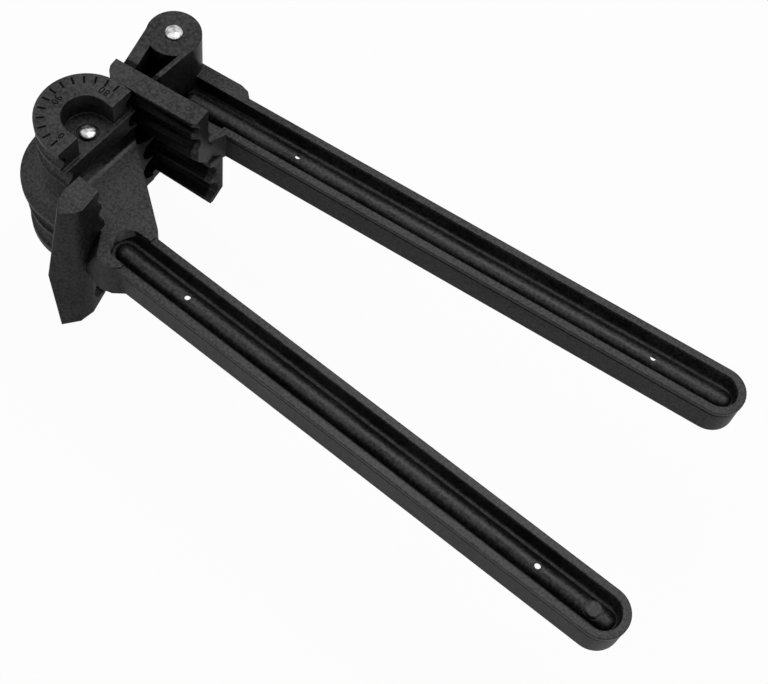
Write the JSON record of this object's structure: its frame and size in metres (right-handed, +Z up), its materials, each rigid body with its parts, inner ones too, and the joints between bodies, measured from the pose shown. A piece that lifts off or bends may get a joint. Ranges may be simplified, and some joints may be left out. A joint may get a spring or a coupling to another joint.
{
  "type": "tube bender",
  "caption": "Hand lever tube bender in black moulded nylon: stacked grooved former with degree scale, tube hook, and a grooved shoe on a lever that swings round it",
  "frame": {"origin": "former's pivot axis at the link's underside", "axes": "+Z up along both pivots, +X along the fixed handle towards its tip, +Y towards the half-turn mark of the degree scale"},
  "size_m": [0.2942, 0.1338, 0.0721],
  "materials": {
    "black_nylon": "moulded glass-filled nylon, satin with fine fibre mottling",
    "rivet_steel": "bright zinc-plated steel, lightly rubbed"
  },
  "bodies": {
    "fixed": {"former_handle": "black_nylon"},
    "link": {"pivot_link": "black_nylon", "former_rivet": "rivet_steel", "lever_rivet": "rivet_steel", "former_washer": "rivet_steel", "lever_washer": "rivet_steel"},
    "lever": {"shoe_lever": "black_nylon"}
  },
  "joints": [
    {"name": "former_pivot", "type": "hinge", "parent": "fixed", "child": "link", "pos_m": [0, 0, 0.03], "axis": [0, 0, 1], "range_deg": [0, 178]},
    {"name": "lever_pivot", "type": "hinge", "parent": "link", "child": "lever", "pos_m": [-0.00449, 0.05341, 0.03], "axis": [0, 0, 1], "range_deg": [0, 90]}
  ]
}
